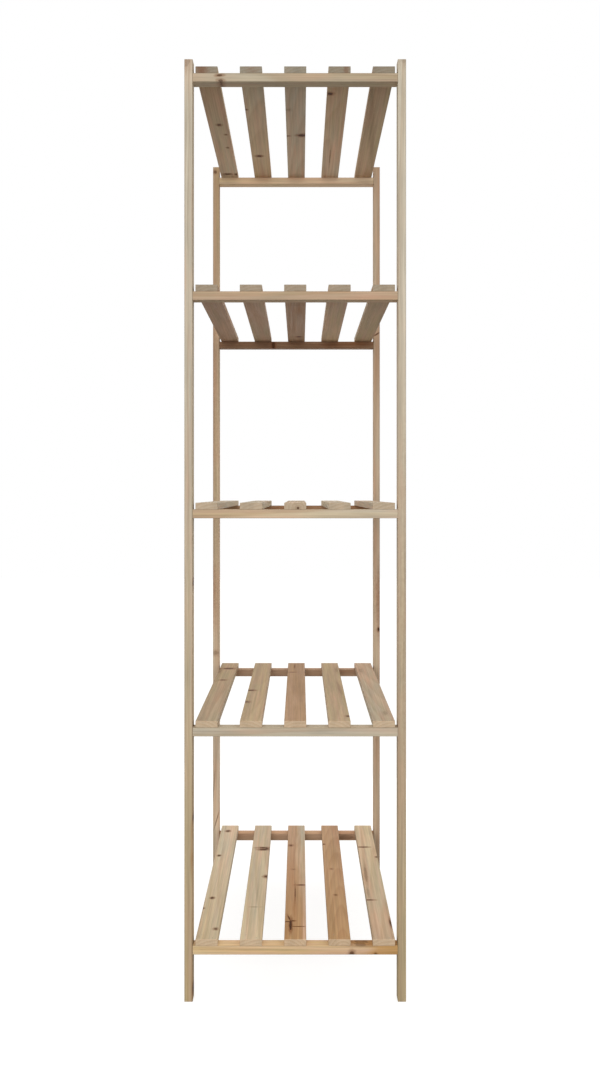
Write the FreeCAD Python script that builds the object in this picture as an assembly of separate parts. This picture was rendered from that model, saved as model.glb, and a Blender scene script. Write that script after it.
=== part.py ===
# Free-standing five-tier shelving unit in planed fir.
# Four slim posts carry five decks. A deck is two rails, front and rear, with five slats
# nailed across them, and each rail end is screwed to its post through the post's outer face.
# Frame: millimetres, +Z up, origin on the floor under the middle of the unit,
# +X to the right and +Y to the rear as seen from the front.

import FreeCAD
import Part

import math
import os

Vector = FreeCAD.Vector

# Overall size
UNIT_WIDTH = 400.0  # left to right, outside the posts
UNIT_DEPTH = 500.0  # front to rear, outside the posts
UNIT_HEIGHT = 1700.0  # floor to the post tops

# Planed stock
POST_WIDTH = 15.0  # left to right
POST_DEPTH = 20.0  # front to rear
RAIL_HEIGHT = 16.0
RAIL_DEPTH = 20.0  # front to rear
SLAT_WIDTH = 40.0
SLAT_THICKNESS = 12.0
EDGE_EASE = 1.0  # flat sanded on every long edge

# Layout
SHELF_COUNT = 5
SLATS_PER_SHELF = 5
FOOT_CLEARANCE = 85.0  # floor to the underside of the lowest rails
POST_RISE = 13.0  # post tops above the top deck
SLAT_SIDE_GAP = 5.0  # outer slats to the posts beside them

# Countersunk screws, one through a post into each rail end
SCREW_SHANK = 3.5  # diameter
SCREW_HEAD = 7.0  # diameter
SCREW_TIP = 0.6  # diameter of the flat left on the point
SCREW_SIDES = 12  # flat faces that stand for the round of a screw and its hole
SCREW_BITE = 25.0  # length inside the rail
SCREW_POINT = 4.0  # length of the tapered tip
SCREW_CLEARANCE = 0.25  # round the shank inside the post

# Flat-wire brads, a staggered pair where a slat crosses a rail
BRAD_WIDTH = 1.25  # along the slat
BRAD_THICKNESS = 1.0  # across the slat
BRAD_POINT = 2.0  # length of the chisel tip
BRAD_SLAT_INSET = 10.0  # from the slat's long edge
BRAD_RAIL_INSET = 5.0  # from the rail's front or rear face
BRAD_COVER = 3.0  # wood left below the tip

# Sizes that follow from the ones above
CLEAR_WIDTH = UNIT_WIDTH - 2 * POST_WIDTH
DECK_HEIGHT = RAIL_HEIGHT + SLAT_THICKNESS
TOP_RAIL_UNDERSIDE = UNIT_HEIGHT - POST_RISE - DECK_HEIGHT
SHELF_PITCH = (TOP_RAIL_UNDERSIDE - FOOT_CLEARANCE) / (SHELF_COUNT - 1)
SLAT_PITCH = (CLEAR_WIDTH - 2 * SLAT_SIDE_GAP - SLAT_WIDTH) / (SLATS_PER_SHELF - 1)
SCREW_LENGTH = POST_WIDTH + SCREW_BITE
SCREW_HEAD_DEPTH = (SCREW_HEAD - SCREW_SHANK) / 2

LEFT_RIGHT = {"left": -1, "right": 1}
FRONT_REAR = {"front": -1, "rear": 1}


def rail_underside(shelf):
    """Height of a deck's rails above the floor, with shelf 1 the lowest."""
    return FOOT_CLEARANCE + (shelf - 1) * SHELF_PITCH


def rail_middle(end):
    """Front-to-rear place of a rail's centre line: its outer face is flush with the posts."""
    return end * (UNIT_DEPTH - RAIL_DEPTH) / 2


def slat_middle(slat):
    """Left-to-right place of a slat's centre line, with slat 1 the leftmost."""
    return (slat - (SLATS_PER_SHELF + 1) / 2) * SLAT_PITCH


def planed_bar(middle, size, grain):
    """A bar centred on middle, with the four edges that run along the grain eased."""
    box = Part.makeBox(size.x, size.y, size.z, middle - size * 0.5)
    long_edges = [e for e in box.Edges if abs(e.tangentAt(0).dot(grain)) > 0.5]
    return box.makeChamfer(EDGE_EASE, long_edges)


def flat_face(points):
    """The flat face inside a closed line through points."""
    return Part.Face(Part.makePolygon(points + points[:1]))


def turned(outline, seat, inward):
    """A many-sided pin about the inward axis through seat, from (radius, depth) steps along it."""
    turns = [2 * math.pi * (k + 0.5) / SCREW_SIDES for k in range(SCREW_SIDES)]
    spokes = [Vector(0, math.cos(turn), math.sin(turn)) for turn in turns]
    rings = [[seat + inward * depth + spoke * radius for spoke in spokes] for radius, depth in outline]
    faces = [flat_face(rings[0]), flat_face(rings[-1])]
    for near, far in zip(rings, rings[1:]):
        faces += [flat_face([near[k - 1], near[k], far[k], far[k - 1]]) for k in range(SCREW_SIDES)]
    return Part.makeSolid(Part.makeShell(faces))


def screw(seat, inward):
    """A countersunk wood screw, head flush with the face that seat lies on."""
    outline = [
        (SCREW_HEAD / 2, 0),
        (SCREW_SHANK / 2, SCREW_HEAD_DEPTH),
        (SCREW_SHANK / 2, SCREW_LENGTH - SCREW_POINT),
        (SCREW_TIP / 2, SCREW_LENGTH),
    ]
    return turned(outline, seat, inward)


def screw_hole(seat, inward):
    """The clearance hole through a post, countersunk to seat the screw's head."""
    radius = SCREW_SHANK / 2 + SCREW_CLEARANCE
    cone_depth = SCREW_HEAD / 2 - radius
    return turned([(SCREW_HEAD / 2, 0), (radius, cone_depth), (radius, POST_WIDTH)], seat, inward)


def brad(middle_x, middle_y, top, tip):
    """A flat-wire brad with a chisel tip, driven straight down."""
    half = BRAD_WIDTH / 2
    shoulder = tip + BRAD_POINT
    outline = [(half, top), (half, shoulder), (0, tip), (-half, shoulder), (-half, top)]
    points = [Vector(middle_x - BRAD_THICKNESS / 2, middle_y + y, z) for y, z in outline]
    return flat_face(points).extrude(Vector(BRAD_THICKNESS, 0, 0))


def screw_places(side, end):
    """Where the screws of one post start, one for each deck, and the way that they point."""
    inward = Vector(-side, 0, 0)
    heights = [rail_underside(shelf) + RAIL_HEIGHT / 2 for shelf in range(1, SHELF_COUNT + 1)]
    return [(Vector(side * UNIT_WIDTH / 2, rail_middle(end), z), inward) for z in heights]


def crossing_brads(shelf, slat, end):
    """The staggered pair of brads where a slat crosses its front or rear rail."""
    top = rail_underside(shelf) + DECK_HEIGHT
    tip = rail_underside(shelf) + BRAD_COVER
    across = SLAT_WIDTH / 2 - BRAD_SLAT_INSET
    along = RAIL_DEPTH / 2 - BRAD_RAIL_INSET
    return [
        brad(slat_middle(slat) + step * across, rail_middle(end) + step * end * along, top, tip)
        for step in (-1, 1)
    ]


def post(side, end):
    """A full-height post, drilled and countersunk for its screws."""
    middle = Vector(side * (UNIT_WIDTH - POST_WIDTH) / 2, end * (UNIT_DEPTH - POST_DEPTH) / 2, UNIT_HEIGHT / 2)
    bar = planed_bar(middle, Vector(POST_WIDTH, POST_DEPTH, UNIT_HEIGHT), Vector(0, 0, 1))
    return bar.cut([screw_hole(seat, inward) for seat, inward in screw_places(side, end)])


def rail(shelf, end, fasteners):
    """A rail between two posts, with the holes that its screws and brads made."""
    middle = Vector(0, rail_middle(end), rail_underside(shelf) + RAIL_HEIGHT / 2)
    bar = planed_bar(middle, Vector(CLEAR_WIDTH, RAIL_DEPTH, RAIL_HEIGHT), Vector(1, 0, 0))
    return bar.cut(fasteners)


def slat(shelf, number, fasteners):
    """A slat as long as the unit is deep, with the slots that its brads made."""
    middle_z = rail_underside(shelf) + RAIL_HEIGHT + SLAT_THICKNESS / 2
    middle = Vector(slat_middle(number), 0, middle_z)
    bar = planed_bar(middle, Vector(SLAT_WIDTH, UNIT_DEPTH, SLAT_THICKNESS), Vector(0, 1, 0))
    return bar.cut(fasteners)


def build_posts():
    """The four posts and, for each, its column of screws."""
    pieces = {}
    for end_name, end in FRONT_REAR.items():
        for side_name, side in LEFT_RIGHT.items():
            name = f"post_{end_name}_{side_name}"
            pieces[name] = post(side, end)
            screws = [screw(seat, inward) for seat, inward in screw_places(side, end)]
            pieces[f"{name}_screws"] = Part.makeCompound(screws)
    return pieces


def build_shelf(shelf):
    """One deck: two rails, its slats and the brads that hold them."""
    slats = range(1, SLATS_PER_SHELF + 1)
    brads = {(n, end): crossing_brads(shelf, n, end) for n in slats for end in FRONT_REAR.values()}
    pieces = {}
    for end_name, end in FRONT_REAR.items():
        screws = [screw(*screw_places(side, end)[shelf - 1]) for side in LEFT_RIGHT.values()]
        nails = [nail for n in slats for nail in brads[n, end]]
        pieces[f"shelf_{shelf}_{end_name}_rail"] = rail(shelf, end, screws + nails)
    for n in slats:
        nails = [nail for end in FRONT_REAR.values() for nail in brads[n, end]]
        pieces[f"shelf_{shelf}_slat_{n}"] = slat(shelf, n, nails)
    all_brads = [nail for pair in brads.values() for nail in pair]
    pieces[f"shelf_{shelf}_brads"] = Part.makeCompound(all_brads)
    return pieces


def main():
    """Builds every piece and writes one STEP file for each."""
    pieces = build_posts()
    for shelf in range(1, SHELF_COUNT + 1):
        pieces.update(build_shelf(shelf))
    os.makedirs("parts", exist_ok=True)
    for name, shape in pieces.items():
        shape.exportStep(f"parts/{name}.step")
        print(f"{name}: {len(shape.Solids)} solid(s), {shape.Volume:.0f} mm3, valid {shape.isValid()}")


main()
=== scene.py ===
# %% [markdown]
# # A slatted shelving unit in planed fir
# The real object is a free-standing rack of five decks. Four slim posts carry pairs of rails, and
# five slats are nailed across each pair. Nothing is painted or varnished, so what the eye gets is
# bare softwood: straw-coloured boards beside pink and russet ones, soft streaks and small dark knots.
# This lesson dresses the measured frame of that rack. Each board takes its size and place from the
# frame, and is made again as a mesh that also knows how it lay in its log.

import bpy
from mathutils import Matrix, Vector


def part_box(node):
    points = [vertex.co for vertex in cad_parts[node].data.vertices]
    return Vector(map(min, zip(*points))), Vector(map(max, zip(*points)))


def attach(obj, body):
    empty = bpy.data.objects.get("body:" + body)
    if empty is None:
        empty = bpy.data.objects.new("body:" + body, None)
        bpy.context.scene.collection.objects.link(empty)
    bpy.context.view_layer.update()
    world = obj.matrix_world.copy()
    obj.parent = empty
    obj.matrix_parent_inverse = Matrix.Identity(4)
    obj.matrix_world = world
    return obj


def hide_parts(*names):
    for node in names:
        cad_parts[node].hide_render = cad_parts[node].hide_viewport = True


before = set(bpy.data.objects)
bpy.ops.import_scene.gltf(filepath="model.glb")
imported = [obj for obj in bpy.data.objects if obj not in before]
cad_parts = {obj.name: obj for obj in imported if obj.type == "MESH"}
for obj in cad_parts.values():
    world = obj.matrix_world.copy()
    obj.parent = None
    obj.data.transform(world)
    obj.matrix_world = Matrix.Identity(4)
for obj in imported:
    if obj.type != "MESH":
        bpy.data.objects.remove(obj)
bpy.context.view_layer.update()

# %% [markdown]
# ## The camera
# The rack was photographed straight from the front, from about half its height, with a phone-like
# lens. The place and focal length were worked out from the rack's own corners in the picture. A
# camera tipped towards the middle of the rack would make the posts lean, so it stays level, and a
# small lens shift frames the rack.

# %% Camera
import bpy
from mathutils import Matrix, Vector

PHOTO_HIGH = 1067  # rows of the photograph
FOCAL_PX = 806.5  # focal length in pixels of the photograph
HORIZON_PX = 494.2  # row of the photograph at the camera's own height
EYE = Vector((0.0086, -1.704, 0.9154))  # metres, in the frame of the rack
SENSOR_MM = 36.0  # the sensor's long side, which spans the picture's height
RIGHT, REAR, UP = Vector((1, 0, 0)), Vector((0, 1, 0)), Vector((0, 0, 1))


def put(name, data):
    """A new object with this data, linked into the scene."""
    thing = bpy.data.objects.new(name, data)
    bpy.context.scene.collection.objects.link(thing)
    return thing


def aimed(direction):
    """The turn that points a camera or a lamp in a direction."""
    return direction.to_track_quat("-Z", "Y").to_euler()


camera_data = bpy.data.cameras.new("camera")
camera_data.sensor_fit = "AUTO"
camera_data.sensor_width = SENSOR_MM
camera_data.lens = FOCAL_PX / PHOTO_HIGH * SENSOR_MM
camera_data.shift_y = (HORIZON_PX - PHOTO_HIGH / 2) / PHOTO_HIGH
camera = put("camera", camera_data)
camera.location = EYE
camera.rotation_euler = aimed(REAR)
bpy.context.scene.camera = camera
print("camera:", round(camera_data.lens, 2), "mm lens, shift", round(camera_data.shift_y, 4))

# %% [markdown]
# ## Two small helpers
# Every node tree below is built by one function that adds a node, sets its properties and feeds its
# sockets with plain values or links. Colours are written as the sRGB hex values that a paint card
# would give, and Blender shades in linear light, so a second function converts them.

# %% Helpers for node trees and colours
NODE_STEP = 180  # how far apart nodes stand in the editor
MATH, VECTOR = "ShaderNodeMath", "ShaderNodeVectorMath"  # the kinds of node that are used the most
MIX, MAP_RANGE = "ShaderNodeMix", "ShaderNodeMapRange"
SEPARATE, ATTRIBUTE = "ShaderNodeSeparateXYZ", "ShaderNodeAttribute"


def add(tree, kind, inputs=(), operation=None, **settings):
    """Adds a node. inputs is a list in the order of the sockets, or a dict by their names."""
    node = tree.nodes.new(kind)
    node.location.x = NODE_STEP * len(tree.nodes)
    if operation:
        node.operation = operation
    for name, value in settings.items():
        setattr(node, name, value)
    sockets = [socket for socket in node.inputs if not socket.is_unavailable]
    if isinstance(inputs, dict):
        sockets = [next(s for s in sockets if s.name == name) for name in inputs]
        inputs = inputs.values()
    for socket, value in zip(sockets, inputs):
        if isinstance(value, bpy.types.Node):
            value = next(s for s in value.outputs if not s.is_unavailable)
        if isinstance(value, bpy.types.NodeSocket):
            tree.links.new(value, socket)
        else:
            socket.default_value = value
    return node


def linear(hex_colour):
    """Linear RGBA from an sRGB hex value such as #C8B596, by the curve of the sRGB standard."""
    channels = [int(hex_colour[k:k + 2], 16) / 255 for k in (1, 3, 5)]
    return [c / 12.92 if c <= 0.04045 else ((c + 0.055) / 1.055) ** 2.4 for c in channels] + [1.0]


print("straw in linear light:", [round(c, 3) for c in linear("#C8B596")])

# %% [markdown]
# ## Light
# The rack was lit softly from all round. A broad lamp stands behind the camera, a little to its left
# and above it, and lights the fronts. A larger one stands for the lit backdrop, which reaches the
# undersides and decks from behind. Lamps alone would leave hard dark gaps between the boards, so a
# uniform surround fills the rest, and the camera sees it as plain white.

# %% Surround and lamps
AMBIENT = 0.78  # strength of the surround on the object
AMBIENT_COLOUR = "#FFFAF2"
LAMPS = {  # name: watts, colour, size in metres, place, point it looks at
    "front_lamp": (25.0, "#F4F7FF", 1.2, (-0.3, -2.5, 1.25), (0, 0, 0.85)),
    "lit_backdrop": (8.5, "#FFFCF8", 1.8, (0.2, 1.0, 0.8), (0, 0, 0.9)),
}


def emptied(owner):
    """The node tree of a new material or world, with nothing in it yet."""
    owner.use_nodes = True
    owner.node_tree.nodes.clear()
    return owner.node_tree


def seen_directly(tree):
    """1 for rays from the camera, also by way of a mirror or glass, and 0 for light on the object."""
    path = add(tree, "ShaderNodeLightPath").outputs
    mirror = add(tree, MATH, [path["Is Camera Ray"], path["Is Glossy Ray"]], "MAXIMUM")
    return add(tree, MATH, [mirror, path["Is Transmission Ray"]], "MAXIMUM")


def white_surround():
    """World light: a soft white fill that the camera sees as plain white."""
    world = bpy.data.worlds.new("white_surround")
    tree = emptied(world)
    direct = seen_directly(tree)
    strength = add(tree, MAP_RANGE, {"Value": direct, "To Min": AMBIENT, "To Max": 1.0})
    tint = add(tree, MIX, [direct, linear(AMBIENT_COLOUR), linear("#FFFFFF")], data_type="RGBA")
    light = add(tree, "ShaderNodeBackground", {"Color": tint, "Strength": strength})
    add(tree, "ShaderNodeOutputWorld", {"Surface": light})
    return world


bpy.context.scene.world = white_surround()
bpy.context.scene.view_settings.view_transform = "Standard"
for name, (watts, colour, size, place, aim) in LAMPS.items():
    lamp_data = bpy.data.lights.new(name, "AREA")
    lamp_data.energy = watts
    lamp_data.color = linear(colour)[:3]
    lamp_data.size = size
    lamp = put(name, lamp_data)
    lamp.location = place
    lamp.rotation_euler = aimed(Vector(aim) - Vector(place))
print("light:", len(LAMPS), "lamps in a white surround")

# %% [markdown]
# ## The floor
# The rack stands on a white paper sweep. It could be lit until it clips, but that would also bleach the
# wood, so its material shows the camera a paper white that only the rack's own shadow darkens.

# %% Floor
FLOOR_SIZE = 14.0  # metres
FLOOR_COLOUR = "#6E6F70"  # bounces light as a mid-grey studio floor does
PAPER_GLOW = 0.8  # share of the paper white that stays in shadow
PAPER_SHADE = 0.36  # share that the rack's shadow can take away


def paper_sweep():
    """Matt paper that bounces light upwards and shows the camera white with a soft shadow."""
    material = bpy.data.materials.new("paper_sweep")
    tree = emptied(material)
    bounce = add(tree, "ShaderNodeBsdfDiffuse", {"Color": linear(FLOOR_COLOUR)})
    glow = add(tree, "ShaderNodeEmission", {"Strength": PAPER_GLOW})
    shade = add(tree, "ShaderNodeBsdfDiffuse", {"Color": [PAPER_SHADE] * 3 + [1.0]})
    shown = add(tree, "ShaderNodeAddShader", [glow, shade])
    surface = add(tree, "ShaderNodeMixShader", [seen_directly(tree), bounce, shown])
    add(tree, "ShaderNodeOutputMaterial", {"Surface": surface})
    return material


half = FLOOR_SIZE / 2
corners = [(-half, -half, 0), (half, -half, 0), (half, half, 0), (-half, half, 0)]
floor_mesh = bpy.data.meshes.new("floor")
floor_mesh.from_pydata(corners, [], [(0, 1, 2, 3)])
floor_mesh.materials.append(paper_sweep())
floor = put("floor", floor_mesh)
print("floor:", FLOOR_SIZE, "m square")

# %% [markdown]
# ## Knots as a node group
# A knot is the foot of a branch, cut through. On a planed face it is a dark oval, often with a
# reddish rim where the grain bends round it. It could be painted into an image, but the rack uses no
# images, and it could be a random pattern, but then no knot would sit where the real one does.
# So each board carries a short list of its own knots, and this group draws one of them: it measures
# how far a point is from the oval and returns a dark core and a wider rim.

# %% Knot group
KNOT_CORE_EDGE = (0.72, 1.15)  # in sizes of the oval: solid inside the first, gone past the second
KNOT_RIM_EDGE = (0.8, 2.6)
KNOT_RING = 0.2  # half the spacing of the rings inside a knot, in sizes of the oval
BETWEEN_RINGS = 0.7  # share of its darkness that a core keeps between its rings


def node_group(kind, name, inputs, outputs):
    """A new node group with these sockets, and what its inputs give."""
    tree = bpy.data.node_groups.new(name, kind)
    for in_out, sockets in (("INPUT", inputs), ("OUTPUT", outputs)):
        for socket, holds in sockets.items():
            tree.interface.new_socket(socket, in_out=in_out, socket_type=f"NodeSocket{holds}")
    return tree, add(tree, "NodeGroupInput").outputs


def knot_group():
    """Core and rim of one knot, from a board's coordinates and the knot's place and size."""
    tree, given = node_group("ShaderNodeTree", "knot", {
        "Board": "Vector", "Place": "Vector", "Size": "Vector", "Ragged": "Float"}, {
        "Core": "Float", "Rim": "Float"})
    _, _, turn = add(tree, SEPARATE, [given["Place"]]).outputs
    long, wide, dark = add(tree, SEPARATE, [given["Size"]]).outputs
    away = add(tree, VECTOR, [given["Board"], given["Place"]], "SUBTRACT")
    on_face = add(tree, VECTOR, [away, (1, 1, 0)], "MULTIPLY")
    turned = add(tree, "ShaderNodeVectorRotate", {"Vector": on_face, "Angle": turn},
                 rotation_type="Z_AXIS", invert=True)
    oval = add(tree, "ShaderNodeCombineXYZ", [long, wide, 1.0])
    scaled = add(tree, VECTOR, [turned, oval], "DIVIDE")
    reach = add(tree, VECTOR, [scaled], "LENGTH").outputs["Value"]
    ragged = add(tree, MATH, [reach, given["Ragged"]], "ADD")
    core, rim = (add(tree, MAP_RANGE, [ragged, inner, outer, dark, 0.0], interpolation_type="SMOOTHSTEP")
                 for inner, outer in (KNOT_CORE_EDGE, KNOT_RIM_EDGE))
    branch_rings = add(tree, MATH, [ragged, KNOT_RING], "PINGPONG")
    ring_shade = add(tree, MAP_RANGE, [branch_rings, 0.0, KNOT_RING, 1.0, BETWEEN_RINGS])
    ringed = add(tree, MATH, [core, ring_shade], "MULTIPLY")
    add(tree, "NodeGroupOutput", {"Core": ringed, "Rim": rim})
    return tree


KNOT = knot_group()
print("knot group:", len(KNOT.nodes), "nodes")

# %% [markdown]
# ## Planed fir: a board's own wood
# The wood is plantation fir, sawn, planed and left bare. Pale sapwood surrounds pink-brown heartwood,
# growth rings a few millimetres wide run as streaks along the faces and as arcs over the ends, and
# the planed surface is matt. A flat picture of grain would not meet at the arrises. Here the wood is
# a solid instead: a point's distance from the pith, the centre of the log, gives its ring and tells
# heartwood from sapwood, so faces, edges and ends agree. Each board brings its place in the log and
# its tints as attributes, and noise that is drawn out along the grain makes it uneven.

# %% Fir: attributes and noise
PATTERN_MM = {  # size of each pattern along the grain, across and through the board
    "wander": (420, 60, 60),
    "streak": (420, 7, 7),
    "vein": (150, 2.6, 2.6),
    "cloud": (110, 20, 20),
    "fibre": (26, 1.6, 1.6),  # real fibres are finer, drawn as coarse as the picture can hold
    "ragged": (6, 4, 4),
}
OCTAVES, FINE_OCTAVES = 2.0, 3.5  # the second for veins and fibres
NOISE_SPAN = (0.25, 0.75)  # noise seldom leaves this span
SWING = {"cloud": 0.5, "streak": 0.4, "vein": 0.17, "fibre": 0.06}  # its reach either side of 0

FIR = bpy.data.materials.new("planed_fir")
fir = emptied(FIR)
board_mm, log_mm, hue, batch = (add(fir, ATTRIBUTE, attribute_name=name).outputs["Vector"]
                                for name in ("board_mm", "log_mm", "hue", "batch"))
sawn, arris = (add(fir, ATTRIBUTE, attribute_name=name).outputs["Fac"] for name in ("sawn_end", "arris"))
heart_mm, _, _ = add(fir, SEPARATE, [log_mm]).outputs
blush, gold, shade = add(fir, SEPARATE, [hue]).outputs
number, end_shade, _ = add(fir, SEPARATE, [batch]).outputs
noise = {}
for name, size in PATTERN_MM.items():
    stretched = add(fir, VECTOR, [board_mm, size], "DIVIDE")
    octaves = FINE_OCTAVES if name in ("vein", "fibre") else OCTAVES
    noise[name] = add(fir, "ShaderNodeTexNoise", {
        "Vector": stretched, "W": number, "Scale": 1.0, "Detail": octaves}, noise_dimensions="4D").outputs
cloud, streak, vein, fibre = (add(fir, MAP_RANGE, [noise[name][0], *NOISE_SPAN, -swing, swing])
                              for name, swing in SWING.items())
print("fir:", len(PATTERN_MM), "patterns of noise")

# %% [markdown]
# ## Planed fir: knots and rings
# All of a board's knots are drawn together: at each point the darkest core and the widest rim count.
# A growth ring is pale early wood that darkens to a line of latewood. Rings could be drawn as stripes,
# but as steps of distance from the pith they curve over the ends and arch on the faces by themselves.
# The pith wanders, as in a real log, and a knot bends the rings round it.

# %% Fir: knots and rings
KNOTS_PER_BOARD = 9
RAGGED_KNOT = 0.5  # how far noise pulls a knot's outline, in sizes of the oval
LOG_WANDER_MM = 9.0  # how far the pith strays from a straight line
RIM_PUSH_MM = 5.0  # how far a knot bends the rings round it
RING_MM = 6.0  # fir rings are nearer 4 mm, drawn wider so that they show at this distance
LATE_FROM, LATE_PEAK = 0.2, 0.86  # in a ring: where latewood sets in, and where it is darkest
BLACK, WHITE = (0, 0, 0, 1), (1, 1, 1, 1)

ragged = add(fir, MAP_RANGE, {"Value": noise["ragged"][0], "To Min": -RAGGED_KNOT, "To Max": RAGGED_KNOT})
core, rim = 0.0, 0.0
for k in range(1, KNOTS_PER_BOARD + 1):
    place, size = (add(fir, ATTRIBUTE, attribute_name=f"knot_{k}_{what}").outputs["Vector"]
                   for what in ("place", "size"))
    knot = add(fir, "ShaderNodeGroup", [board_mm, place, size, ragged], node_tree=KNOT).outputs
    core = add(fir, MATH, [core, knot["Core"]], "MAXIMUM")
    rim = add(fir, MATH, [rim, knot["Rim"]], "MAXIMUM")
wander = add(fir, VECTOR, [noise["wander"]["Color"], [LOG_WANDER_MM] * 3, [-LOG_WANDER_MM / 2] * 3],
             "MULTIPLY_ADD")
from_pith = add(fir, VECTOR, [board_mm, log_mm], "SUBTRACT")
strayed = add(fir, VECTOR, [from_pith, wander], "ADD")
cross_cut = add(fir, VECTOR, [strayed, (0, 1, 1)], "MULTIPLY")
radius = add(fir, VECTOR, [cross_cut], "LENGTH").outputs["Value"]
pushed = add(fir, MATH, [rim, RIM_PUSH_MM, radius], "MULTIPLY_ADD")
rings = add(fir, MATH, [pushed, RING_MM], "DIVIDE")
year = add(fir, MATH, [rings], "FRACT")
late = add(fir, "ShaderNodeValToRGB", [year])
profile = late.color_ramp.elements
profile[0].position, profile[0].color = LATE_FROM, BLACK
profile[1].position, profile[1].color = LATE_PEAK, WHITE
profile.new(1.0).color = BLACK
print("fir: rings of", RING_MM, "mm, up to", KNOTS_PER_BOARD, "knots a board")

# %% [markdown]
# ## Planed fir: sapwood and heartwood
# Within the heart radius the wood is pink to russet, and outside it is cream to straw. One colour for
# each would look painted. So each blends between a few, by the board's own blush and gold and by
# streaks and clouds, and the border between them is cloudy too. A mix keeps its share from 0 to 1.

# %% Fir: sapwood and heartwood
HEART_WANDER_MM = 9.0  # how far clouds move the border
HEART_BLUR_MM = 3.5  # half the width of the change from heartwood to sapwood
CLOUD_BLUSH = 0.8  # how much clouds change the blush, where streaks change it by 1
STREAK_GOLD = -0.5  # how much streaks change the gold of sapwood
PATCH_GOLD = -0.6  # how much blushing patches change the gold of heartwood
HEART_GOLD = 0.6  # share of the gold that shows in heartwood
RUSSET_FROM = 0.5  # blush past which heartwood turns russet
ASH = "#CBC1AD"  # sapwood that has greyed a little in the light
HONEY = "#D5BC8B"  # golden sapwood
BLUSH = "#CBA98E"  # pink sapwood
HEART = "#C2A287"
RUSSET = "#A36E47"  # the deepest heartwood
HEART_HONEY = "#C69C62"  # golden heartwood

edge = add(fir, MATH, [cloud, HEART_WANDER_MM, radius], "MULTIPLY_ADD")
inside = add(fir, MATH, [heart_mm, edge], "SUBTRACT")
heart = add(fir, MAP_RANGE, [inside, -HEART_BLUR_MM, HEART_BLUR_MM], interpolation_type="SMOOTHSTEP")
patch = add(fir, MATH, [cloud, CLOUD_BLUSH, streak], "MULTIPLY_ADD")
flush = add(fir, MATH, [blush, patch], "ADD")
gilding = add(fir, MATH, [streak, STREAK_GOLD, gold], "MULTIPLY_ADD")
gilded = add(fir, MIX, [gilding, linear(ASH), linear(HONEY)], data_type="RGBA")
sap = add(fir, MIX, [flush, gilded, linear(BLUSH)], data_type="RGBA")
deep = add(fir, MATH, [flush, RUSSET_FROM], "SUBTRACT")
red_heart = add(fir, MIX, [deep, linear(HEART), linear(RUSSET)], data_type="RGBA")
gold_patch = add(fir, MATH, [patch, PATCH_GOLD, gold], "MULTIPLY_ADD")
gold_heart = add(fir, MATH, [gold_patch, HEART_GOLD], "MULTIPLY")
heartwood = add(fir, MIX, [gold_heart, red_heart, linear(HEART_HONEY)], data_type="RGBA")
wood = add(fir, MIX, [heart, sap, heartwood], data_type="RGBA")
print("fir: sapwood", ASH, "to", HONEY, "round heartwood", HEART, "to", RUSSET)

# %% [markdown]
# ## Planed fir: ends, knots, wear and painted shade
# Over that colour lie the marks that a close look finds: the board's own lightness, painted light and
# shade on the sawn ends, latewood, the pith, fibres and veins, knots, and grime with painted shade on
# the arrises. They are mixed in that order, so that a knot also darkens the ends and the darkened
# arrises also cover a knot.

# %% Fir: marks over the wood
# Painted light and painted shade on the sawn ends: the ends of the low decks take the lighter colour, and
# those of the high decks the darker one
END_PAINTED_LIGHT = "#E4CAA9"
END_PAINTED_SHADE = "#958E7F"  # painted shade: the darker colour, for the ends of the high decks
END_SHARE = 0.85  # of an end's colour over the wood's own
LATE_WOOD = "#CDA97C"  # darkens the wood it lies over
LATE_SHARE = 0.24
PITH = "#5A3A24"
PITH_MM = 3.2  # radius at which the pith ends
PITH_SHARE = 0.85
FIBRE_ON_ENDS = 0.4  # share of the fibres' shading that shows on sawn ends
MOTTLE = 0.24  # how much the wood lightens and darkens in soft patches
KNOT_RIM = "#7A4220"
RIM_SHARE = 0.7
KNOT_CORE = "#3A200C"
ARRIS_GRIME_AND_SHADE = "#6E5F4E"  # hands darken the long edges, and the same colour paints the shade along the arrises
GRIME_AND_SHADE_SPAN = (0.15, 0.65)  # the least and the most grime and painted shade on an arris

lightness = add(fir, MATH, [shade, 1.0], "ADD")
toned = add(fir, VECTOR, [wood, lightness], "SCALE")
# The end colour runs from painted light to painted shade by the board's end shade
end_share = add(fir, MATH, [sawn, END_SHARE], "MULTIPLY")
end_colour = add(fir, MIX, [end_shade, linear(END_PAINTED_LIGHT), linear(END_PAINTED_SHADE)], data_type="RGBA")
ended = add(fir, MIX, [end_share, toned, end_colour], data_type="RGBA")
late_share = add(fir, MATH, [late, LATE_SHARE], "MULTIPLY")
ringed = add(fir, MIX, [late_share, ended, linear(LATE_WOOD)], data_type="RGBA", blend_type="MULTIPLY")
pith = add(fir, MAP_RANGE, [radius, PITH_MM / 2, PITH_MM, PITH_SHARE, 0.0], interpolation_type="SMOOTHSTEP")
pithy = add(fir, MIX, [pith, ringed, linear(PITH)], data_type="RGBA")
fibrous = add(fir, MATH, [fibre, vein], "ADD")
on_faces = add(fir, MAP_RANGE, {"Value": sawn, "To Min": 1.0, "To Max": FIBRE_ON_ENDS})
streaky = add(fir, MATH, [fibrous, on_faces, 1.0], "MULTIPLY_ADD")
mottled = add(fir, MATH, [cloud, MOTTLE, streaky], "MULTIPLY_ADD")
shaded = add(fir, VECTOR, [pithy, mottled], "SCALE")
rim_share = add(fir, MATH, [rim, RIM_SHARE], "MULTIPLY")
rimmed = add(fir, MIX, [rim_share, shaded, linear(KNOT_RIM)], data_type="RGBA")
knotted = add(fir, MIX, [core, rimmed, linear(KNOT_CORE)], data_type="RGBA")
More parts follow.
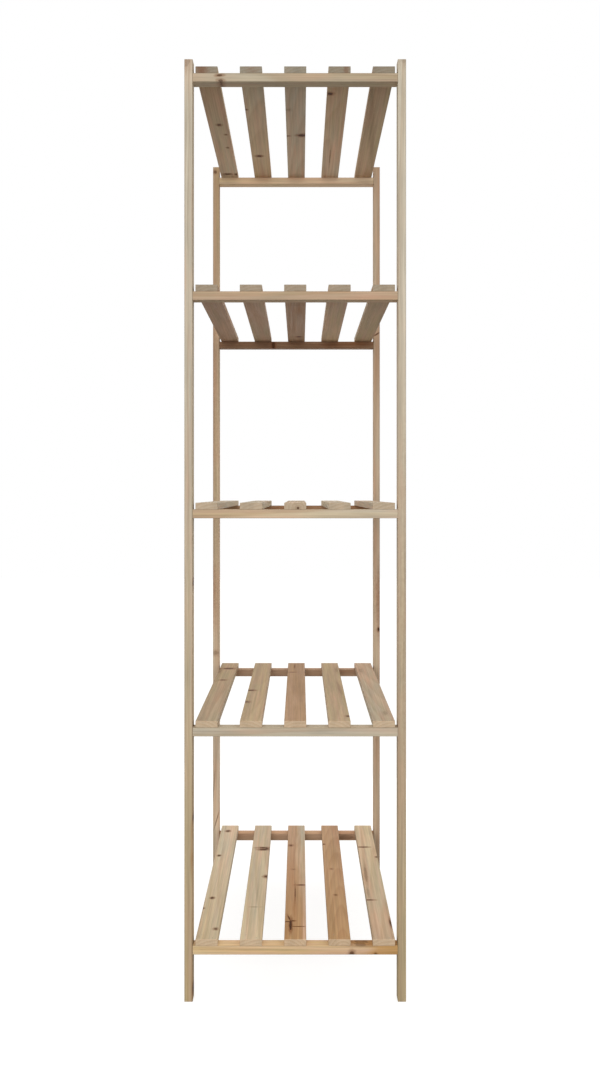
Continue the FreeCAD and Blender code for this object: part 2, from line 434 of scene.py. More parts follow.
# Grime and painted shade: the arrises darken in patches
arris_darkening = add(fir, MAP_RANGE, [cloud, -SWING["cloud"], SWING["cloud"], *GRIME_AND_SHADE_SPAN])
grime_and_shade = add(fir, MATH, [arris, arris_darkening], "MULTIPLY")
colour = add(fir, MIX, [grime_and_shade, knotted, linear(ARRIS_GRIME_AND_SHADE)], data_type="RGBA")
print("fir:", len(fir.nodes), "nodes for its colour")

# %% [markdown]
# ## Planed fir: the surface
# Planed and dry, the wood is matt. Hard knots, latewood and handled arrises are a little smoother, and
# fibres stand up enough to catch the light. They are far too fine for real geometry, so a bump does it.

# %% Fir: surface
MM = 0.001  # a millimetre in metres
RELIEF = 0.15 * MM  # height of the fibres
RELIEF_STRENGTH = 0.35
LATE_RELIEF = 0.5  # how far latewood stands up, where fibres do by 1
MATT, SMOOTH = 0.68, 0.54  # roughness of open wood, and of knots, latewood and arrises
WOOD_IOR = 1.5
WOOD_SHINE = 0.04  # dry open wood has next to no mirror shine

relief = add(fir, MATH, [late, LATE_RELIEF, noise["fibre"][0]], "MULTIPLY_ADD")
bump = add(fir, "ShaderNodeBump", {"Strength": RELIEF_STRENGTH, "Distance": RELIEF, "Height": relief})
hard = add(fir, MATH, [core, late], "MAXIMUM")
polished = add(fir, MATH, [hard, arris], "MAXIMUM")
roughness = add(fir, MAP_RANGE, {"Value": polished, "To Min": MATT, "To Max": SMOOTH})
surface = add(fir, "ShaderNodeBsdfPrincipled", {
    "Base Color": colour, "Roughness": roughness, "IOR": WOOD_IOR, "Specular IOR Level": WOOD_SHINE,
    "Normal": bump})
add(fir, "ShaderNodeOutputMaterial", {"Surface": surface})
print(FIR.name, "has", len(fir.nodes), "nodes")

# %% [markdown]
# ## One tree for every board
# Posts, rails and slats are the same thing in different sizes: a straight bar, planed on four sides,
# with its arrises eased by sanding. A cube with a Bevel modifier would do, but then each board would
# need its own settings. Geometry Nodes hold the rule once, with the sizes as inputs. A cube's points
# are pushed onto an inner box plus a small round, so ends and edges can be eased by different amounts.
# The tree also drills the board where fasteners go in, and stores where each point lies in the wood.

# %% Board tree
import math

ARRIS_STEPS = 2  # facets from a flat face to the middle of an arris
END_FACING = 0.7  # a face that looks along the grain by more than this is a sawn end
ARRIS_MIDDLE = 0.59  # how far the middle of an arris is from its two faces together, in radii
MESH = {"Geometry": "Geometry"}  # the one output of every tree that makes a mesh


def close_tree(tree, shape, material):
    """Ends a tree: instances become real faces and take their material."""
    real = add(tree, "GeometryNodeRealizeInstances", [shape])
    dressed = add(tree, "GeometryNodeSetMaterial", {"Geometry": real, "Material": material})
    add(tree, "NodeGroupOutput", [dressed])


def board_tree():
    """Geometry Nodes for one planed board, its grain along local X before it is placed."""
    tree, given = node_group("GeometryNodeTree", "planed_board", {
        "Size": "Vector", "Arris": "Vector", "Middle": "Vector", "Turn": "Rotation", "Drilled": "Bool",
        "Holes": "Object", "Material": "Material"}, MESH)

    # The bar in its place: the cube's grid lines become even steps of angle round its arrises
    steps = 2 * ARRIS_STEPS
    cube = add(tree, "GeometryNodeMeshCube", [(2, 2, 2), steps + 2, steps + 2, steps + 2])
    corner = add(tree, "GeometryNodeInputPosition")
    side = add(tree, VECTOR, [corner], "SIGN")
    reach = add(tree, VECTOR, [corner], "ABSOLUTE")
    lean = add(tree, VECTOR, [reach, [(steps + 1) / steps] * 3, [-1 / steps] * 3], "MULTIPLY_ADD")
    angle = add(tree, VECTOR, [lean, math.pi / 4], "SCALE")
    slope = add(tree, VECTOR, [angle], "TANGENT")
    outward = add(tree, VECTOR, [slope], "NORMALIZE")
    half_size = add(tree, VECTOR, [given["Size"], 0.5], "SCALE")
    inner = add(tree, VECTOR, [half_size, given["Arris"]], "SUBTRACT")
    eased = add(tree, VECTOR, [given["Arris"], outward, inner], "MULTIPLY_ADD")
    point = add(tree, VECTOR, [eased, side], "MULTIPLY")
    bar = add(tree, "GeometryNodeSetPosition", {"Geometry": cube, "Position": point})
    placed = add(tree, "GeometryNodeTransform", {
        "Geometry": bar, "Translation": given["Middle"], "Rotation": given["Turn"]})

    # Its holes
    holes = add(tree, "GeometryNodeObjectInfo", {"Object": given["Holes"]}).outputs["Geometry"]
    bored = add(tree, "GeometryNodeMeshBoolean", {"Mesh 1": placed, "Mesh 2": holes},
                "DIFFERENCE", solver="EXACT")
    shape = add(tree, "GeometryNodeSwitch", {"Switch": given["Drilled"], "False": placed, "True": bored},
                input_type="GEOMETRY")

    # What its points and faces remember: place in the board, sawn end or not, and nearness to an arris
    back = add(tree, "FunctionNodeInvertRotation", [given["Turn"]])
    place = add(tree, "GeometryNodeInputPosition")
    offset = add(tree, VECTOR, [place, given["Middle"]], "SUBTRACT")
    in_board = add(tree, "FunctionNodeRotateVector", {"Vector": offset, "Rotation": back})
    in_mm = add(tree, VECTOR, [in_board, 1 / MM], "SCALE")
    normal = add(tree, "GeometryNodeInputNormal")
    facing = add(tree, "FunctionNodeRotateVector", {"Vector": normal, "Rotation": back})
    along, _, _ = add(tree, SEPARATE, [facing]).outputs
    steep = add(tree, MATH, [along], "ABSOLUTE")
    is_end = add(tree, MATH, [steep, END_FACING], "GREATER_THAN")
    mirrored = add(tree, VECTOR, [in_board], "ABSOLUTE")
    from_faces = add(tree, VECTOR, [half_size, mirrored], "SUBTRACT")
    in_radii = add(tree, VECTOR, [from_faces, given["Arris"]], "DIVIDE")
    _, from_side, from_face = add(tree, SEPARATE, [in_radii]).outputs
    from_both = add(tree, MATH, [from_side, from_face], "ADD")
    rounding = add(tree, MAP_RANGE, [from_both, ARRIS_MIDDLE, 1.0, 1.0, 0.0])
    for name, value, kind, domain in (
            ("board_mm", in_mm, "FLOAT_VECTOR", "POINT"), ("sawn_end", is_end, "FLOAT", "FACE"),
            ("arris", rounding, "FLOAT", "POINT")):
        shape = add(tree, "GeometryNodeStoreNamedAttribute", {
            "Geometry": shape, "Name": name, "Value": value}, data_type=kind, domain=domain)
    close_tree(tree, shape, given["Material"])
    return tree


BOARD = board_tree()
print("board tree:", len(BOARD.nodes), "nodes")

# %% [markdown]
# ## Screws and brads
# Each rail end is held by one countersunk screw through the post, and each slat by staggered pairs of
# flat-wire brads. They are small but they are what a close look finds, so they are made as they are:
# a screw has a cross recess, a plain shank and a thread, and a brad has a small head, punched just
# below the surface. All of these shapes are lofts, loops of points joined by faces, so one function
# makes them and the cutters that drill the wood. A Boolean sinks the recess into the screw.

# %% Loops of points and lofts
SIDES = 16  # of everything round


def ring(radius, depth):
    """A round loop of points, depth below the surface, in millimetres."""
    turns = [2 * math.pi * k / SIDES for k in range(SIDES)]
    return [Vector((radius * math.cos(turn), radius * math.sin(turn), -depth)) for turn in turns]


def rectangle(across, along, depth):
    """A rectangular loop of points from half its sides, depth below the surface, in millimetres."""
    return [Vector((across * x, along * y, -depth)) for x, y in ((1, -1), (1, 1), (-1, 1), (-1, -1))]


def cross(reach, web, depth):
    """A cross-shaped loop of points, as the tip of a screwdriver has."""
    points = [Vector((x, y, -depth)) for x, y in ((reach, -web), (reach, web), (web, web))]
    quarter = Matrix.Rotation(math.pi / 2, 3, "Z")
    loop = []
    for _ in range(4):
        loop += points
        points = [quarter @ point for point in points]
    return loop


def lofted(name, loops):
    """A closed mesh object through loops of points that run from the top down, in millimetres."""
    count = len(loops[0])
    points = [point * MM for loop in loops for point in loop]
    faces = [tuple(range(count)), tuple(reversed(range(len(points) - count, len(points))))]
    for row in range(0, len(points) - count, count):
        for k in range(count):
            after = (k + 1) % count
            faces.append((row + k, row + count + k, row + count + after, row + after))
    mesh = bpy.data.meshes.new(name)
    mesh.from_pydata(points, [], faces)
    return put(name, mesh)


print("a round loop has", len(ring(1, 0)), "points and a cross", len(cross(2, 1, 0)))

# %% [markdown]
# ## The shapes of the fasteners
# These are stock sizes for slim softwood: a screw of 3.5 by 40 and a brad 25 mm long. A thread could be
# a swept helix, but that leaves a seam along the shank. Here the loops of the shank themselves swell
# where the crest passes them, so the screw is one closed skin.

# %% Screw, brad and cutters
SCREW_HEAD, SCREW_SHANK, SCREW_CORE = 3.5, 1.7, 1.15  # radii, the last inside the thread, mm
SCREW_TIP = (0.25, 40.0)  # radius and depth, mm
HEAD_SUNK = 0.15  # how far a head sits below the face, mm
THREAD_START, THREAD_PITCH, THREAD_TURNS = 16.0, 2.0, 10  # mm, mm and turns
LOOPS_PER_TURN = 4
# Radius and depth down the screw's rim, cone and plain shank, and down its countersink, mm
SCREW_TOP = [(SCREW_HEAD, HEAD_SUNK), (SCREW_HEAD - 0.15, HEAD_SUNK + 0.3), (SCREW_SHANK, 2.2),
             (SCREW_SHANK, THREAD_START - 1)]
COUNTERSINK = [(SCREW_HEAD + 1.1, -1), (SCREW_HEAD + 0.1, 0), (SCREW_SHANK, 1.9)]
# Reach and half the width of the driver's arms, and depth, mm
DRIVER = [(2.3, 0.42, -0.5), (2.1, 0.42, HEAD_SUNK), (0.9, 0.3, 2.0)]
# Half the size across and along the slat, and depth, down a brad and its punched hole, mm
BRAD = [(0.55, 0.85, 0.2), (0.55, 0.85, 0.6), (0.5, 0.625, 0.7), (0.5, 0.625, 23.0), (0.5, 0.03, 25.0)]
PUNCH = [(0.65, 0.95, -1), (0.6, 0.9, 0.5)]


def threaded(depth):
    """A round loop that swells from the core to the shank's radius where the thread's crest passes it."""
    loop = ring(SCREW_CORE, depth)
    for k, point in enumerate(loop):
        from_crest = abs((depth / THREAD_PITCH - k / SIDES) % 1 - 0.5) * 2
        point.xy *= 1 + (SCREW_SHANK / SCREW_CORE - 1) * max(0.0, 2 * from_crest - 1)
    return loop


def plain_mesh(piece):
    """Turns what an object's modifiers make into its own plain mesh."""
    depsgraph = bpy.context.evaluated_depsgraph_get()
    evaluated = piece.evaluated_get(depsgraph)
    mesh = bpy.data.meshes.new_from_object(evaluated, preserve_all_data_layers=True, depsgraph=depsgraph)
    piece.modifiers.clear()
    piece.data = mesh
    mesh.name = piece.name


thread = [threaded(THREAD_START + k * THREAD_PITCH / LOOPS_PER_TURN)
          for k in range(THREAD_TURNS * LOOPS_PER_TURN)]
screw = lofted("screw", [*(ring(*loop) for loop in SCREW_TOP), *thread, ring(*SCREW_TIP)])
driver = lofted("driver", [cross(*loop) for loop in DRIVER])
recess = screw.modifiers.new("recess", "BOOLEAN")
recess.operation, recess.solver, recess.object = "DIFFERENCE", "EXACT", driver
plain_mesh(screw)
countersink = lofted("countersink", [ring(*loop) for loop in COUNTERSINK])
brad = lofted("brad", [rectangle(*loop) for loop in BRAD])
punch = lofted("punch", [rectangle(*loop) for loop in PUNCH])
print("screw:", len(screw.data.polygons), "faces, brad:", len(brad.data.polygons), "faces")

# %% [markdown]
# ## Fasteners set out by rule
# Screws stand in a column up each post at an even pitch, and brads repeat from slat to slat. They could
# be placed one by one in a loop, but a small Geometry Nodes tree states the rule once: a line of points
# carries the copies. The same trees also set out the cutters, so every hole sits round its fastener.

# %% Trees for screws and brads


def column_tree():
    """Copies at an even pitch up a post, each turned to face out of it."""
    tree, given = node_group("GeometryNodeTree", "column", {
        "Copied": "Object", "Count": "Int", "Start": "Vector", "Pitch": "Vector", "Turn": "Rotation",
        "Material": "Material"}, MESH)
    line = add(tree, "GeometryNodeMeshLine", {
        "Count": given["Count"], "Start Location": given["Start"], "Offset": given["Pitch"]}, mode="OFFSET")
    copied = add(tree, "GeometryNodeObjectInfo", {"Object": given["Copied"]}).outputs["Geometry"]
    copies = add(tree, "GeometryNodeInstanceOnPoints", {
        "Points": line, "Instance": copied, "Rotation": given["Turn"]})
    close_tree(tree, copies, given["Material"])
    return tree


def deck_tree():
    """Copies in staggered pairs where each slat crosses the front and the rear rail."""
    tree, given = node_group("GeometryNodeTree", "deck", {
        "Copied": "Object", "Slats": "Int", "First": "Vector", "Pitch": "Vector", "Stagger": "Vector",
        "Rails": "Vector", "Material": "Material"}, MESH)
    back = add(tree, VECTOR, [given["Stagger"], -0.5], "SCALE")
    pair = add(tree, "GeometryNodeMeshLine", {
        "Count": 2, "Start Location": back, "Offset": given["Stagger"]}, mode="OFFSET")
    rear = add(tree, "GeometryNodeTransform", {"Geometry": pair, "Translation": given["Rails"]})
    front = add(tree, "GeometryNodeTransform", {"Geometry": rear, "Scale": (1, -1, 1)})
    crossings = add(tree, "GeometryNodeJoinGeometry", [rear])
    tree.links.new(front.outputs[0], crossings.inputs[0])
    slats = add(tree, "GeometryNodeMeshLine", {
        "Count": given["Slats"], "Start Location": given["First"], "Offset": given["Pitch"]}, mode="OFFSET")
    places = add(tree, "GeometryNodeInstanceOnPoints", {"Points": slats, "Instance": crossings})
    points = add(tree, "GeometryNodeRealizeInstances", [places])
    copied = add(tree, "GeometryNodeObjectInfo", {"Object": given["Copied"]}).outputs["Geometry"]
    copies = add(tree, "GeometryNodeInstanceOnPoints", {"Points": points, "Instance": copied})
    close_tree(tree, copies, given["Material"])
    return tree


COLUMN, DECK = column_tree(), deck_tree()
print("column tree:", len(COLUMN.nodes), "nodes, deck tree:", len(DECK.nodes), "nodes")

# %% [markdown]
# ## Metal finishes
# The screws are zinc-plated: a pale grey metal with a faint yellow cast and a satin, slightly clouded
# shine. The brads are bare drawn wire, darker and duller. Both are metals in the shader, with the
# default index of refraction, and a soft noise a few tenths of a millimetre wide breaks up the shine.

# %% Zinc and steel
CLOUDING = 0.1  # how far the roughness strays either way


def clouded_metal(name, colour, roughness, grit_mm):
    """A metal whose roughness is clouded by a fine noise."""
    material = bpy.data.materials.new(name)
    tree = emptied(material)
    place = add(tree, "ShaderNodeTexCoord").outputs["Object"]
    grit = add(tree, "ShaderNodeTexNoise", {
        "Vector": place, "Scale": 1 / (grit_mm * MM), "Detail": OCTAVES}).outputs[0]
    clouded = add(tree, MAP_RANGE, {
        "Value": grit, "To Min": roughness - CLOUDING, "To Max": roughness + CLOUDING})
    surface = add(tree, "ShaderNodeBsdfPrincipled", {
        "Base Color": linear(colour), "Metallic": 1.0, "Roughness": clouded})
    add(tree, "ShaderNodeOutputMaterial", {"Surface": surface})
    return material


ZINC = clouded_metal("zinc_plated_steel", "#A6A49C", roughness=0.4, grit_mm=0.6)
WIRE = clouded_metal("drawn_steel_wire", "#8E8B87", roughness=0.45, grit_mm=0.4)
print("metals:", ZINC.name, "and", WIRE.name)

# %% [markdown]
# ## Fasteners in place
# Each post has a column of five screws, and each deck has twenty brads. Their places could be typed in,
# but then a change of the frame would leave them behind, so they are measured from the boxes of the CAD
# nodes. Every set of fasteners stands for its CAD node, and its cutters are kept to drill the boards.

# %% Set out the fasteners
DECKS = range(1, 6)
SLATS = range(1, 6)
POSTS = ("post_front_left", "post_front_right", "post_rear_left", "post_rear_right")
BRAD_STAGGER = Vector((0.02, 0.01, 0))  # from one brad of a pair to the other, metres


def grown(name, tree, **inputs):
    """A plain mesh object made by a Geometry Nodes tree with these inputs."""
    piece = put(name, bpy.data.meshes.new(name))
    modifier = piece.modifiers.new("grow", "NODES")
    modifier.node_group = tree
    identifiers = {s.name: s.identifier for s in tree.interface.items_tree if s.in_out == "INPUT"}
    for key, value in inputs.items():
        modifier[identifiers[key]] = value
    plain_mesh(piece)
    return piece


def stand_for(piece, node):
    """Makes a piece replace its CAD node, on the rack's one body."""
    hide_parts(node)
    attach(piece, "root")


def middle_of(node):
    """The centre of a CAD node's box."""
    low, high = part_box(node)
    return (low + high) / 2


holes = {}
for post in POSTS:
    low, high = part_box(f"{post}_screws")
    side = -1 if "left" in post else 1
    start = Vector(((low if side < 0 else high).x, (low.y + high.y) / 2, low.z + SCREW_HEAD * MM))
    pitch = UP * ((high.z - low.z - 2 * SCREW_HEAD * MM) / (len(DECKS) - 1))
    turn = (RIGHT * side).to_track_quat("Z", "Y").to_euler()
    column = {"Count": len(DECKS), "Start": start, "Pitch": pitch, "Turn": turn}
    stand_for(grown(f"screws_{post}", COLUMN, Copied=screw, Material=ZINC, **column), f"{post}_screws")
    holes[post] = grown(f"holes_{post}", COLUMN, Copied=countersink, **column)
for n in DECKS:
    first, second = middle_of(f"shelf_{n}_slat_1"), middle_of(f"shelf_{n}_slat_2")
    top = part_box(f"shelf_{n}_slat_1")[1].z
    to_rail = middle_of(f"shelf_{n}_rear_rail").y - first.y
    deck = {"Slats": len(SLATS), "First": (first.x, first.y, top), "Pitch": second - first,
            "Stagger": BRAD_STAGGER, "Rails": REAR * to_rail}
    stand_for(grown(f"brads_shelf_{n}", DECK, Copied=brad, Material=WIRE, **deck), f"shelf_{n}_brads")
    holes[f"shelf_{n}"] = grown(f"holes_shelf_{n}", DECK, Copied=punch, **deck)
print("fasteners:", len(POSTS), "columns of screws and", len(DECKS), "decks of brads")

# %% [markdown]
# ## Where each board came from
# No two boards of the rack match. A board sawn near the bark is straw-coloured all over, one from the
# middle of the log is pink to russet, and one that straddles the border has a pale edge. A random draw
# would mix them differently from the real rack. So each tone that was seen has a name here, under the
# place in the log that gives it, and each board names the tones at its two ends. In between it changes
# slowly, as the heartwood wanders along a log.

# %% Cuts of the log
TONES = {  # heart radius and the pith's place across and through the board, mm: blush, gold and shade
    (12, 24, -75): {
        "grey": (0.1, 0.05, 0), "ash_head": (0, -0.35, 0.07), "butt": (0.2, 0.62, -0.1),
        "fog": (0.15, 0.15, -0.05)},
    (12, 22, -70): {
        "straw": (0.05, 0.4, 0.03), "pale": (0.14, 0.05, 0.09), "bright_straw": (0.05, 0.4, 0.11)},
    (12, -24, -72): {"khaki": (0.12, 0.38, -0.1), "drab": (0.1, 0.36, -0.18)},
    (12, -24, -60): {
        "cream": (0.3, 0.55, 0.14), "wheat": (0.35, 0.55, -0.02), "bright_honey": (0.35, 0.75, 0.38),
        "bright_peach": (0.35, 0.3, 0.26), "light_butt": (0.35, 0.05, 0.3),
        "pale_blush": (0.45, 0.1, 0.2)},
    (12, 20, -60): {"peach": (0.52, 0.5, -0.1)},
    (20, 15, -60): {
        "rosy": (0.45, 0.15, 0.08), "blushed": (0.6, 0.2, 0), "fawn": (0.6, 0.6, 0.08),
        "tan": (0.5, 0.6, -0.06), "dun": (0.5, 0.6, -0.14), "dusk": (0.5, 0.45, -0.24),
        "tawny": (0.85, 0.55, -0.03), "dim_blush": (0.95, 0.5, -0.08)},
    (20, 31, -20): {"striped_head": (0.05, -0.35, 0.04)},
    (29, 31, -20): {"striped_butt": (0.12, 0.75, -0.1)},
    (30, -20, -62): {"honey": (0.5, 0.75, 0.06)},
    (34, -22, -22): {"straddling": (0.3, 0, -0.03)},
    (49, -22, -22): {"russet_straddling": (0.95, 0.75, 0)},
    (9, 4, -11): {"boxed_heart": (0.3, 0.2, 0)},
    (90, 8, -52): {"heart": (0.55, 0.15, -0.06), "light_heart": (0.55, 0.15, 0.2)},
    (90, 8, -40): {
        "dull_heart": (0.6, 0, -0.06), "brown_heart": (0.25, 0.45, -0.14),
        "plain_heart": (0.05, 0.25, 0.04)},
    (90, 4, -16): {"honey_heart": (0.6, 0.8, -0.06)},
    (90, -20, -62): {"amber": (0.75, 1.3, 0.18)},
    (90, -6, -18): {"russet": (0.95, 0.15, -0.02)},
    (90, -6, -14): {"umber": (0.95, 0.1, -0.32), "dark_russet": (1.02, 0, -0.4)},
}
# Foot and head of the posts, left and right end of the front and rear rail, rear and front of the slats
POST_ENDS = ("striped_butt striped_head", "butt ash_head", "light_butt dun", "rosy blushed")
DECK_ENDS = {
    # Painted light: the front rail's bright_honey and amber tones are lightened for the front light that is
    # weak this low down
    1: ("bright_honey amber", "light_heart", "pale straw", "fog bright_straw",
        "straddling russet_straddling", "heart honey_heart", "straw blushed"),
    2: ("grey", "dull_heart", "dun khaki", "dun wheat", "brown_heart plain_heart", "dun wheat",
        "blushed fog"),
    3: ("tan pale", "russet", "grey", "khaki grey", "boxed_heart", "straw grey", "blushed grey"),
    4: ("peach", "dark_russet umber", "dim_blush", "dim_blush", "dull_heart", "honey tawny", "tan dun"),
    # Painted light: on each slat the rear tone is lighter than the front one, for the light that reaches
    # the undersides from behind
    5: ("fog drab", "cream bright_peach", "pale_blush dun", "honey grey", "rosy grey", "pale_blush tan",
        "fawn dusk"),
}

CUTS = {name: (place, tone) for place, tones in TONES.items() for name, tone in tones.items()}
ENDS_OF = dict(zip(POSTS, POST_ENDS))
for n in DECKS:
    nodes = [f"shelf_{n}_front_rail", f"shelf_{n}_rear_rail", *(f"shelf_{n}_slat_{k}" for k in SLATS)]
    ENDS_OF.update(zip(nodes, DECK_ENDS[n]))
print("cuts:", len(CUTS), "tones from", len(TONES), "places in the log for", len(ENDS_OF), "boards")

# %% [markdown]
# ## Where the knots are
# Knots are listed where they can be seen on the real boards, in millimetres from the board's middle:
# along the grain, then across. Long thin ovals also serve as dark veins and drying cracks, and broad
# faint ones as darker patches. The deck at eye level hides its faces, so its knots are a seeded draw.

# %% Knots
import random
from collections import namedtuple

# Place along and across and half the length and width in mm, turn in radians, darkness from 0 to 1
Knot = namedtuple("Knot", "along across long wide turn dark")


def pin(along, across, radius=3.2, dark=0.9):
    """A small round knot."""
    return Knot(along, across, radius, radius, 0.0, dark)


def spike(along, across, reach, dark=0.8, wide=1.3, turn=math.pi / 2):
    """A branch cut lengthwise: a dark line across the board."""
    return Knot(along, across, reach, wide, turn, dark)


def mark(along, across, reach, dark, wide=1.2, turn=0.0):
    """A dark vein or drying crack along the grain, or a darker patch where it is wide."""
    return Knot(along, across, reach, wide, turn, dark)


KNOTS_OF = {
    "post_front_left": [
        mark(-520, 8.2, 7, 0.9, 1), mark(-829, 8.2, 8, 1, 1.1), mark(-95, 8.2, 8, 0.8, 0.9),
        mark(850, -4, 14, 0.3, 7)],
    "post_front_right": [mark(852, 3, 10, 0.2, 7), mark(-190, 30, 250, 0.5, 16)],
    "post_rear_left": [
        pin(838, -2, 4, 0.6), mark(-315, -2, 4.5, 0.3, 9), mark(-170, -30, 60, 0.8, 16),
        mark(195, -30, 250, 0.6, 16), mark(-631, -5, 35, 0.4, 0.9, 0.07),
        mark(-720, 0, 22, 0.5, 0.9, 0.28)],
    "post_rear_right": [
        spike(449, 0, 7, turn=1), mark(-259, 5, 4.5, 1, 2.8), mark(-190, 30, 60, 1, 16)],
    "shelf_1_front_rail": [
        pin(102, -6, 4.5, 0.8), pin(145, -8, 3, 0.8), mark(119, 9.2, 17, 0.5, 1.8),
        mark(-60, 1, 70, 0.15, 0.8)],
    "shelf_1_rear_rail": [mark(118, 0, 18, 0.35, 6)],
    "shelf_1_slat_1": [
        pin(-217, -3, 4.2), pin(-87, -11), pin(101, -6), pin(141, -19, 2), pin(215, 13, 3.2, 0.7)],
    "shelf_1_slat_2": [
        spike(-126, 5, 10, 0.95, 3.4), spike(-117, 5, 9, 0.95, 3.4), pin(-121, 14, 4.4, 0.8),
        pin(11, 18, 4.6, 0.9), spike(136, 1, 8, 0.3)],
    "shelf_1_slat_3": [
        pin(-139, -12, 3.8, 0.75), pin(-21, -6, 3, 0.3), spike(48, 11, 8, 0.9, 1.8),
        mark(84, -1, 24, 0.8, 0.7), mark(201, -9, 18, 1, 2.4), mark(177, -12, 8, 0.9, 1.4, 0.24),
        spike(190, -14, 6, 0.9, 1.4), spike(187, -5, 4, 0.9, 1.6), spike(207, 5, 12, 0.8, 1)],
    "shelf_1_slat_4": [pin(-145, -17, 2.2), pin(-23, -4, 2.8, 0.4), pin(89, 0, 2.8, 0.55)],
    "shelf_1_slat_5": [
        spike(-130, -8, 10, 1, 2), pin(-80, 18, 2.6), mark(0, -12.5, 36, 0.34, 3.2),
        mark(80, -14, 20, 0.25, 2.4), spike(109, -14, 8, 0.9, 1.6), mark(196, 18, 12, 0.9, 1.6)],
    "shelf_2_slat_1": [
        spike(-188, 2, 12, 0.8, 6), spike(-71, -1, 6, 0.9, 3.2), mark(-165, -17, 30, 0.3, 3)],
    "shelf_2_slat_2": [
        spike(22, -14, 7, 1, 3.8), spike(112, -17, 5, 1, 2.2), spike(122, -15, 4.5, 0.8, 2)],
    "shelf_2_slat_3": [mark(-212, -4, 16, 0.6), spike(-149, -10, 8, 0.7, 2.4)],
    "shelf_2_slat_4": [
        pin(218, 18, 4, 0.8), mark(5, 12, 60, 0.2, 3.5, 0.05), mark(-170, 13, 20, 0.25, 3)],
    "shelf_2_slat_5": [mark(-165, -11, 22, 0.25, 4), mark(196, 8, 12, 0.25, 4)],
    "shelf_4_rear_rail": [spike(-55, 0, 9, 0.8, 4)],
    "shelf_4_slat_3": [pin(-172, 6, 5, 1), spike(143, 3, 10, 0.4)],
    "shelf_5_front_rail": [
        mark(-136.5, 3.8, 5.5, 0.75, 1.8, 0.05), mark(-134.5, -5.8, 4.6, 0.7, 2.4, -0.1)],
    "shelf_5_slat_1": [
        mark(262, -9, 9, 1, 8), pin(45, 2, 4, 0.8), pin(0, 12, 2.6, 0.6), pin(-64, 10, 2.8, 0.6),
        spike(-210, -3, 7, 0.9, 4), pin(-211, 18, 4, 0.8)],
    "shelf_5_slat_2": [
        mark(264, 2, 8, 0.6, 10), pin(111, -18, 2.6, 0.8), spike(-108, -3, 6, 1, 4)],
    "shelf_5_slat_3": [
        spike(-3, 13, 8.2, 1, 5.2), spike(-6, -17, 4, 0.6, 2.4), pin(110, -15, 5, 0.2)],
    "shelf_5_slat_4": [mark(262, 12, 8, 0.9, 3.5), pin(174, -14, 4.4, 1), mark(-110, -4, 40, 0.4)],
    "shelf_5_slat_5": [mark(15, -1, 200, 0.16, 5, -0.09)],
}
# Least and most of a drawn knot's place and radius in mm and of its darkness
CHANCE = {"along": (-220, 220), "across": (-17, 17), "radius": (2.0, 3.6), "dark": (0.5, 0.95)}


def drawn_knots(draw):
    """One to three small knots by chance, for a slat whose faces the picture hides."""
    return [pin(**{name: draw.uniform(*span) for name, span in CHANCE.items()})
            for _ in range(draw.randint(1, 3))]


for n in SLATS:
    KNOTS_OF[f"shelf_3_slat_{n}"] = drawn_knots(random.Random(f"knots of slat {n}"))
print("knots:", sum(len(knots) for knots in KNOTS_OF.values()), "on", len(KNOTS_OF), "boards")

# %% [markdown]
# ## The boards
# A board is grown by its tree from the box of its CAD node, with the grain along its length. Then it is
# stamped with what makes it itself: its place in the log, its tints, its number for the noise, and its
# knots. These go on its points as attributes, so one material serves all 39 boards.

# %% Boards
ARRIS = Vector((0.0005, 0.001, 0.001))  # eased on the ends, and along the edges, metres
END_SHADE_BY_DECK = {1: 0.0, 2: 0.2, 3: 0.5, 4: 0.8, 5: 1.0}  # painted light and shade on the slats' ends by deck, from 0, the light colour, to 1, the dark one
FRAME_END_SHADE = 0.5  # painted end shade on the ends of posts and rails, halfway between the light and the dark colour
DECK_PAINTED_SHADE = {"shelf_2_slat": -0.1, "shelf_4_slat": -0.1}  # painted shade: the slats of decks 2 and 4 are darkened where less light reaches them
STRAY_MM = (0, 4, 10)  # how far chance moves a board's heart radius and its pith across and through it
BATCHES = 500  # range of the numbers that give each board its own noise
NO_KNOT = Knot(0, 0, 1, 1, 0, 0)


def stamp(mesh, name, first, second=None):
    """Stores a vector on every point of a board, blended from its first end to its second."""
    places = [Vector(point.vector) for point in mesh.attributes["board_mm"].data]
    half_length = max(place.x for place in places)
    shares = [0.5 + place.x / half_length / 2 for place in places]
    blended = [Vector(first).lerp(Vector(second or first), share) for share in shares]
    layer = mesh.attributes.new(name, "FLOAT_VECTOR", "POINT")
    layer.data.foreach_set("vector", [number for vector in blended for number in vector])


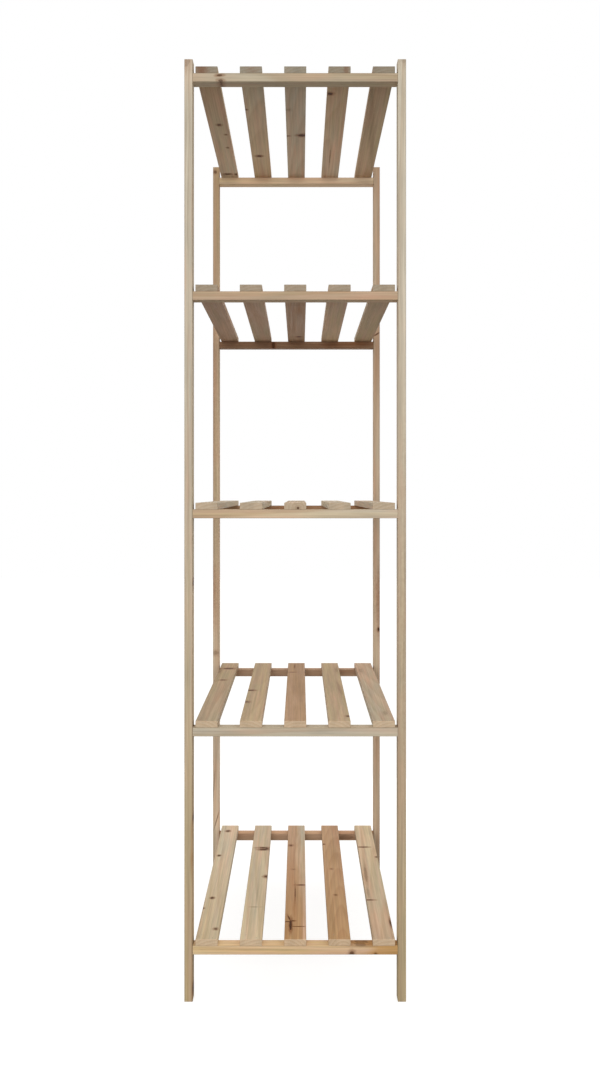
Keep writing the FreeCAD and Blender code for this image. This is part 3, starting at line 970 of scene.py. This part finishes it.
def board(node, grain, across, end_shade, drill=None):
    """The dressed board for a CAD node, with its grain and its width along these axes."""
    low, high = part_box(node)
    through = grain.cross(across)
    lengths = [abs((high - low).dot(axis)) for axis in (grain, across, through)]
    turn = Matrix((grain, across, through)).transposed().to_euler()
    inputs = {"Size": lengths, "Arris": ARRIS, "Middle": middle_of(node), "Turn": turn, "Material": FIR}
    if drill:
        inputs.update(Drilled=True, Holes=drill)
    piece = grown(f"fir_{node}", BOARD, **inputs)
    draw = random.Random(f"board {node}")
    strays = [Vector([draw.uniform(-most, most) if most else 0 for most in STRAY_MM]) for _ in range(2)]
    kinds = ENDS_OF[node].split()
    (place, tone), (last_place, last_tone) = CUTS[kinds[0]], CUTS[kinds[-1]]
    # Painted shade on the slats of decks 2 and 4
    deck_shade = Vector((0, 0, DECK_PAINTED_SHADE.get(node.rpartition("_")[0], 0)))
    stamp(piece.data, "log_mm", Vector(place) + strays[0], Vector(last_place) + strays[1])
    stamp(piece.data, "hue", Vector(tone) + deck_shade, Vector(last_tone) + deck_shade)
    # The painted end shade rides along with the board's number for the noise
    stamp(piece.data, "batch", (draw.uniform(0, BATCHES), end_shade, 0))
    knots = KNOTS_OF.get(node, []) + [NO_KNOT] * KNOTS_PER_BOARD
    for k, knot in enumerate(knots[:KNOTS_PER_BOARD], 1):
        stamp(piece.data, f"knot_{k}_place", (knot.along, knot.across, knot.turn))
        stamp(piece.data, f"knot_{k}_size", (knot.long, knot.wide, knot.dark))
    stand_for(piece, node)
    return piece


boards = [board(post, UP, RIGHT, FRAME_END_SHADE, holes[post]) for post in POSTS]
for n in DECKS:
    boards += [board(f"shelf_{n}_{end}_rail", RIGHT, UP, FRAME_END_SHADE) for end in ("front", "rear")]
    boards += [board(f"shelf_{n}_slat_{k}", -REAR, RIGHT, END_SHADE_BY_DECK[n], holes[f"shelf_{n}"]) for k in SLATS]
# What was copied or cut with has done its work
for scaffold in [screw, driver, countersink, brad, punch, *holes.values()]:
    bpy.data.objects.remove(scaffold)
print("boards:", len(boards), "with", sum(len(b.data.polygons) for b in boards), "faces")
